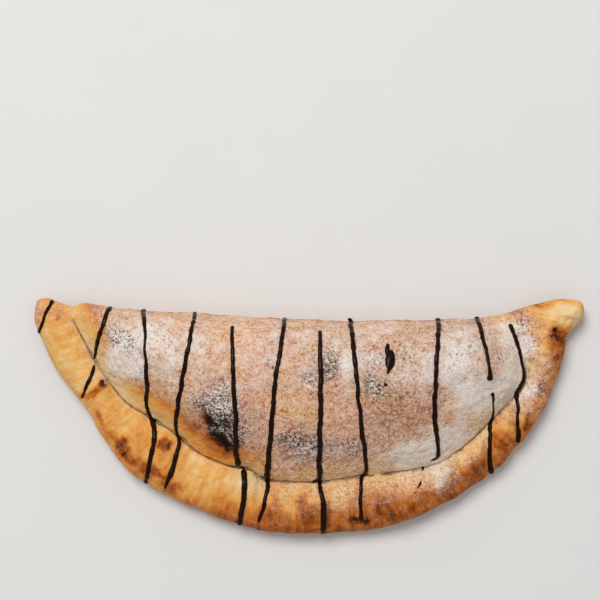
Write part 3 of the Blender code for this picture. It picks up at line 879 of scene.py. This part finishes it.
def under_states(made):
    """The same below: baked on stone, golden with round brown spots, darker where it lies on the stone."""
    lay = made.lays[1]
    points = made.grid[:, made.top_steps :].reshape(-1, 3)
    spots = fade(ripples(points, 9.0, 41), 0.7, 1.9)
    resting = fade(points[:, 2], 3.0, 0.3)
    tone = 0.66 - 0.10 * resting + 0.26 * spots * resting + 0.06 * ripples(points, 22.0, 42)
    scorch = 0.35 * fade(ripples(points, 7.0, 43), 1.5, 2.4) * resting
    flour = 0.10 * resting * fade(ripples(points, 26.0, 44), -0.5, 1.5)
    none = np.zeros(len(lay.places))
    return np.stack([np.clip(tone, 0, 1), scorch, flour, none, none, none, none, none])


def build_crust():
    """The whole skin as one closed grid: rings over the top and back below, and a fan round each tip."""
    made = dough()
    rings, steps = made.grid.shape[:2]
    points = np.vstack([made.grid.reshape(-1, 3), made.tips])
    material = crust_material(bpy.context.scene.calzone_colours)
    crust = new_piece("crust_skin", made.placed(points), closed_faces(rings, steps), material)
    own_map(crust, rings, steps)

    top, under = top_states(made), under_states(made)
    count = len(top)
    states = np.dstack([top.reshape(count, rings, -1), under.reshape(count, rings, -1)])
    ends = states[:, [0, -1]].mean(axis=2)
    for name, values, end in zip(STATES, states, ends):
        store(crust, name, np.append(values, end))
    return crust


# ---------------------------------------------------------------- sauce

SECTION_POINTS = 12
STRAND_STEP = 0.7
PATH_FINENESS = 60
# The width at which a strand has its full height.
FULL_WIDTH = 2.4
# Sauce settles to this many times its width as poured. Where a strand comes over the fold, beyond the
# given line, its first points are wider still by these amounts.
SETTLING = 1.22
FOLD_SPREAD = (0.4, 0.2)
FOLD_SIDE_Y = 45
# How far a shape's lower side, and a drop's edge, lie below the crust.
SUNK = 0.35
DROP_SUNK = 0.04
DROP_RINGS, DROP_STEPS = 7, 20


def settled(points):
    """A strand's points with the width that its sauce settles to, to the nearest tenth of a millimetre."""
    widths = [width * SETTLING for _, _, width in points]
    if points[0][1] > FOLD_SIDE_Y:
        for i, more in enumerate(FOLD_SPREAD):
            widths[i] += more
    return [(x, y, round(width, 1)) for (x, y, _), width in zip(points, widths)]


def laid_path(points):
    """A smooth path over the crust in equal steps on its surface, with the normals and widths there."""
    fine = smooth_line(points, PATH_FINENESS * len(points))
    surface = np.column_stack([fine[:, :2], Lay(fine[:, :2]).top_heights(), fine[:, 2]])
    length = np.linalg.norm(np.diff(surface[:, :3], axis=0), axis=1).sum()
    count = max(6, int(length / STRAND_STEP))
    stepped = even_steps(surface, count)
    path, normals = dough().lay_on(stepped[:, :2])
    return path, normals, stepped[:, 3]


def strand(points, swelling, height, pointed, seed):
    """A bead of sauce: a half ellipse carried along a path, narrower at its ends, closed below the crust.

    Its width wavers by a few hundredths, as the hand that poured it did.
    """
    path, normals, width = laid_path(points)
    count = len(path)
    rng = np.random.default_rng(seed)
    steps = np.arange(count) * STRAND_STEP
    wobble = ripples(steps[:, None], 6.0, seed) * 0.06 + ripples(steps[:, None], 2.5, seed + 50) * 0.03 + 1
    width = width * swelling * wobble
    end_reach = width / 2 if not pointed else np.full(count, steps[-1] * 0.5)
    from_end = np.minimum(steps, steps[-1] - steps)
    closing = np.sqrt(np.clip(1 - (1 - np.clip(from_end / end_reach, 0, 1)) ** 2, 0, 1))
    closing = np.maximum(closing, 0.04)
    along = np.gradient(path, axis=0)
    along /= np.linalg.norm(along, axis=1, keepdims=True) + TINY
    sideways = np.cross(along, normals)
    sideways /= np.linalg.norm(sideways, axis=1, keepdims=True) + TINY
    path = path + sideways * (0.12 * ripples(steps[:, None], 14.0, seed + 1))[:, None]
    angle = np.arange(SECTION_POINTS) / SECTION_POINTS * 2 * np.pi
    out = (width * closing / 2)[:, None] * np.cos(angle)
    bead = height * closing * np.clip(width / FULL_WIDTH, 0.6, 1.3)
    upright = np.abs(np.sin(angle))
    rise = np.where(np.sin(angle) >= 0, bead[:, None] * upright**0.8, -SUNK * upright)
    rise = rise + rng.normal(0, 0.004, (count, 1))
    grid = path[:, None] + out[..., None] * sideways[:, None] + rise[..., None] * normals[:, None]
    return closed_shape(grid, grid[0].mean(0), grid[-1].mean(0))


def closed_shape(grid, first_end, last_end):
    """Points and triangles of a shape from rings that run the other way round from the crust's."""
    points = np.vstack([grid.reshape(-1, 3), first_end, last_end])
    return points, closed_faces(*grid.shape[:2])[:, [0, 2, 1]]


def drop(x, y, half_length, half_width, turn, height):
    """A drop of sauce: a low dome over an oval, laid on the crust and closed below it.

    Its height is the given one times the square root of 1 less the squared share of the way to the edge.
    """
    share = np.sin(np.arange(1, DROP_RINGS) / (DROP_RINGS - 1) * np.pi / 2)[:, None]
    angle = np.arange(DROP_STEPS) / DROP_STEPS * 2 * np.pi
    cosine, sine = np.cos(np.radians(turn)), np.sin(np.radians(turn))
    along, across = half_length * share * np.cos(angle), half_width * share * np.sin(angle)
    places = np.stack([x + along * cosine - across * sine, y + along * sine + across * cosine], axis=2)
    surface, normals = dough().lay_on(places.reshape(-1, 2))
    middle, middle_normal = dough().lay_on(np.array([[x, y]]))
    rise = height * np.sqrt(np.clip(1 - share**2, 0, 1)).repeat(DROP_STEPS, axis=0)
    top = surface + normals * (rise - DROP_SUNK)
    skirt = (surface - normals * SUNK)[-DROP_STEPS:]
    grid = np.vstack([top, skirt]).reshape(DROP_RINGS, DROP_STEPS, 3)
    return closed_shape(grid, middle + middle_normal * height, middle - middle_normal * SUNK)


def joined(parts):
    """Points and faces of several shapes as one pair of arrays."""
    points, faces, count = [], [], 0
    for some_points, some_faces in parts:
        points.append(some_points)
        faces.append(some_faces + count)
        count += len(some_points)
    return np.vstack(points), np.vstack(faces)


def build_sauce():
    """Every strand, pool and drop of sauce as one piece."""
    sizes = bpy.context.scene.calzone_sizes
    height, swelling = sizes.sauce_height / MM, sizes.sauce_width
    parts = []
    for seed, points in enumerate(STRANDS.values()):
        parts.append(strand(settled(points), swelling, height, False, 100 + seed))
    for seed, points in enumerate(POOLS.values()):
        parts.append(strand(points, swelling, height * 0.8, True, 200 + seed))
    parts += [drop(*values) for values in DROPS]
    points, faces = joined(parts)
    material = sauce_material(bpy.context.scene.calzone_colours)
    return new_piece("chocolate_strands", dough().placed(points), faces, material)


# ---------------------------------------------------------------- sugar

GRAIN_CORNERS = np.array([(1, 0, 0), (-1, 0, 0), (0, 1, 0), (0, -1, 0), (0, 0, 1), (0, 0, -1)], float)
GRAIN_FACES = np.array([
    (0, 2, 4), (2, 1, 4), (1, 3, 4), (3, 0, 4), (2, 0, 5), (1, 2, 5), (3, 1, 5), (0, 3, 5),
])
# Spread of the grains' sizes, and how far a grain stands out, in halves of its width.
GRAIN_SPREAD = 0.32
GRAIN_LIFT = 0.35


def build_sugar():
    """Loose grains of sugar as one piece: small uneven octahedra where the dusting lies, seeded.

    Each grain's place is a random point of a cell of the crust's grid. A cell's chance is its area times its
    share of sugar, raised in clumps.
    """
    made = dough()
    sizes = bpy.context.scene.calzone_sizes
    rng = np.random.default_rng(7)
    rings = made.grid.shape[0]
    top = made.grid[:, : made.top_steps]
    sugar = top_states(made)[2].reshape(rings, made.top_steps)
    a, b, c, d = top[:-1, :-1], top[:-1, 1:], top[1:, 1:], top[1:, :-1]
    area = np.linalg.norm(np.cross(c - a, d - b), axis=2) / 2
    clumps = fade(ripples(top[:-1, :-1].reshape(-1, 3), 2.2, 8), -0.6, 1.6).reshape(area.shape)
    sugar = sugar[:-1, :-1]
    weight = (area * (0.05 + sugar) * (sugar > 0.05) * clumps).ravel()
    count = sizes.grain_count
    cells = rng.choice(len(weight), count, p=weight / weight.sum())
    u, v = rng.random((2, count, 1))
    corner = [part.reshape(-1, 3)[cells] for part in (a, b, c, d)]
    centre = (corner[0] * (1 - v) + corner[1] * v) * (1 - u) + (corner[3] * (1 - v) + corner[2] * v) * u
    normal = made.normals[:-1, : made.top_steps - 1].reshape(-1, 3)[cells]
    radius = sizes.grain_size / MM / 2 * np.exp(rng.normal(0, GRAIN_SPREAD, (count, 1)))
    shape = GRAIN_CORNERS[None] * rng.uniform(0.55, 1.25, (count, len(GRAIN_CORNERS), 1))
    turn = np.linalg.qr(rng.normal(size=(count, 3, 3)))[0]
    turn *= np.sign(np.linalg.det(turn))[:, None, None]
    points = np.einsum("nij,nkj->nki", turn, shape) * radius[:, None]
    points += (centre + normal * radius * GRAIN_LIFT)[:, None]
    points = made.placed(points.reshape(-1, 3))
    faces = (GRAIN_FACES + len(GRAIN_CORNERS) * np.arange(count)[:, None, None]).reshape(-1, 3)
    material = sugar_material(bpy.context.scene.calzone_colours)
    return new_piece("sugar_grains", points, faces, material, smooth=False)


# ---------------------------------------------------------------- properties

def length(name, description, default):
    return FloatProperty(name=name, description=description, default=default, unit="LENGTH", precision=5)


def colour(name, description, default):
    return FloatVectorProperty(name=name, description=description, default=default, subtype="COLOR", size=3)


class CalzoneSizes(bpy.types.PropertyGroup):
    """Sizes of the fine relief, the sauce and the sugar."""

    lump_height: length("Lumps", "Typical height of the slow lumps", 0.00022)
    bump_height: length("Bumps", "Typical height of the small bumps", 0.00012)
    pore_height: length("Pores", "Typical depth of the pores", 0.00004)
    pleat_height: length("Pleats", "Typical height of the fine pleats across the rim", 0.00028)
    crease_depth: length("Crease", "Extra depth of the crimp's narrow crease", 0.0008)
    top_clearance: length("Room on top", "Height kept free above the crust for sauce and sugar", 0.0012)
    sauce_height: length("Sauce height", "Height of a strand of sauce above the crust", 0.00095)
    sauce_width: FloatProperty(name="Sauce width", description="Scale of every strand's width", default=1.0)
    grain_size: length("Grain size", "Typical width of a grain of sugar", 0.00036)
    grain_count: IntProperty(name="Grains", description="Number of grains of sugar", default=20000, min=1)


class CalzoneColours(bpy.types.PropertyGroup):
    """Colours of dough, sugar, sauce and floor."""

    pale_dough: colour("Pale dough", "Dough that hardly baked", (0.84, 0.62, 0.33))
    cream_dough: colour("Cream dough", "Lightly baked dough", (0.82, 0.45, 0.14))
    golden_dough: colour("Golden dough", "Golden dough", (0.75, 0.33, 0.074))
    orange_crust: colour("Orange crust", "Well baked crust", (0.62, 0.21, 0.042))
    brown_crust: colour("Brown crust", "Browned crust", (0.46, 0.135, 0.026))
    dark_crust: colour("Dark crust", "Dark brown crust", (0.30, 0.070, 0.010))
    deep_crust: colour("Deep crust", "Deep brown crust", (0.15, 0.034, 0.006))
    singed_crust: colour("Singed crust", "Crust about to burn", (0.038, 0.012, 0.003))
    char: colour("Char", "Burnt crust", (0.012, 0.0055, 0.0028))
    # Colour of the painted shade in the crimp's crease.
    seam_shadow: colour("Seam", "Dark line in the crimp", (0.05, 0.024, 0.010))
    pit_shadow: colour("Pits", "Small pits between the sugar", (0.125, 0.062, 0.032))
    sugar_crest: colour("Sugar crests", "Raised specks of sugar", (0.90, 0.74, 0.61))
    sugar_white: colour("Sugar", "Thick dusted sugar", (0.84, 0.77, 0.71))
    sugar_rosy: colour("Rosy sugar", "Sugar melted into a warm film", (0.79, 0.53, 0.41))
    sugar_olive: colour("Olive sugar", "Sugar melted into a film over pale dough", (0.70, 0.52, 0.33))
    sugar_grain: colour("Sugar grain", "Loose grains", (0.80, 0.73, 0.66))
    sauce_dark: colour("Sauce", "Wet chocolate sauce", (0.0080, 0.0022, 0.0006))
    sauce_brown: colour("Drying sauce", "Thin or drying chocolate sauce", (0.024, 0.0065, 0.0020))
    floor_light: colour("Floor", "Pale floor", (0.78, 0.78, 0.775))
    floor_shade: colour("Floor shade", "Pale floor's cloudiness", (0.755, 0.755, 0.75))


class CalzoneStage(bpy.types.PropertyGroup):
    """Camera and light."""

    camera_height: length("Camera height", "Height of the camera above the floor", 0.9)
    camera_lens: FloatProperty(name="Lens", description="Focal length in millimetres", default=98.0)
    fill_light: FloatProperty(name="Fill light", description="Strength of the even light", default=0.42)
    key_light: FloatProperty(name="Key light", description="Power of the key light in watts", default=60.0)


# ---------------------------------------------------------------- operators

class CALZONE_OT_crust(bpy.types.Operator):
    """Build the crust's skin in place of the plain solid"""

    bl_idname = "calzone.crust"
    bl_label = "Crust"

    def execute(self, context):
        crust = build_crust()
        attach(crust, "root")
        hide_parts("crust")
        return {"FINISHED"}


class CALZONE_OT_sauce(bpy.types.Operator):
    """Lay the strands, pools and drops of chocolate sauce on the crust"""

    bl_idname = "calzone.sauce"
    bl_label = "Chocolate sauce"

    def execute(self, context):
        sauce = build_sauce()
        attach(sauce, "root")
        return {"FINISHED"}


class CALZONE_OT_sugar(bpy.types.Operator):
    """Scatter loose grains of sugar over the dusted places"""

    bl_idname = "calzone.sugar"
    bl_label = "Sugar grains"

    def execute(self, context):
        grains = build_sugar()
        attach(grains, "root")
        return {"FINISHED"}


FLOOR_HALF = 4.0
CAMERA_PLACE = (-0.0049, 0.0633)
KEY_PLACE = (-0.7, 1.4, 2.6)
KEY_SIZE = 1.5


class CALZONE_OT_stage(bpy.types.Operator):
    """Set up the pale floor, the camera looking straight down and the soft light"""

    bl_idname = "calzone.stage"
    bl_label = "Floor, camera and light"

    def execute(self, context):
        scene = context.scene
        stage = scene.calzone_stage
        corners = np.array([(-1, -1, 0), (1, -1, 0), (1, 1, 0), (-1, 1, 0)]) * FLOOR_HALF
        floor = new_piece("floor", corners, np.array([(0, 1, 2, 3)]), floor_material(scene.calzone_colours))

        camera = bpy.data.objects.new("camera", bpy.data.cameras.new("camera"))
        camera.data.lens = stage.camera_lens
        camera.location = (*CAMERA_PLACE, stage.camera_height)
        scene.collection.objects.link(camera)
        scene.camera = camera

        key = bpy.data.objects.new("key_light", bpy.data.lights.new("key_light", "AREA"))
        key.data.shape = "DISK"
        key.data.size = KEY_SIZE
        key.data.energy = stage.key_light
        key.data.color = (1.0, 0.985, 0.965)
        key.location = KEY_PLACE
        key.rotation_euler = (-key.location).to_track_quat("-Z", "Y").to_euler()
        key.visible_camera = False
        scene.collection.objects.link(key)

        world = bpy.data.worlds.new("studio")
        world.use_nodes = True
        background = world.node_tree.nodes["Background"]
        background.inputs["Color"].default_value = (1.0, 0.995, 0.985, 1.0)
        background.inputs["Strength"].default_value = stage.fill_light
        scene.world = world
        scene.view_settings.view_transform = "Standard"
        return {"FINISHED"}


class CALZONE_PT_panel(bpy.types.Panel):
    """Lists the pieces and their sizes and colours"""

    bl_idname = "CALZONE_PT_panel"
    bl_label = "Calzone"
    bl_space_type = "VIEW_3D"
    bl_region_type = "UI"
    bl_category = "Calzone"

    def draw(self, context):
        for operator in OPERATORS:
            self.layout.operator(operator.bl_idname)
        for group_name, group in GROUPS.items():
            box = self.layout.box()
            for name in group.__annotations__:
                box.prop(getattr(context.scene, group_name), name)


OPERATORS = (CALZONE_OT_crust, CALZONE_OT_sauce, CALZONE_OT_sugar, CALZONE_OT_stage)
GROUPS = {"calzone_sizes": CalzoneSizes, "calzone_colours": CalzoneColours, "calzone_stage": CalzoneStage}


def register():
    for group in GROUPS.values():
        bpy.utils.register_class(group)
    for operator in OPERATORS:
        bpy.utils.register_class(operator)
    bpy.utils.register_class(CALZONE_PT_panel)
    for name, group in GROUPS.items():
        setattr(bpy.types.Scene, name, PointerProperty(type=group))


def unregister():
    for name in GROUPS:
        delattr(bpy.types.Scene, name)
    for group in (CALZONE_PT_panel, *OPERATORS, *GROUPS.values()):
        bpy.utils.unregister_class(group)


def main():
    register()
    bpy.ops.calzone.crust()
    bpy.ops.calzone.sauce()
    bpy.ops.calzone.sugar()
    bpy.ops.calzone.stage()


if __name__ == "__main__":
    main()
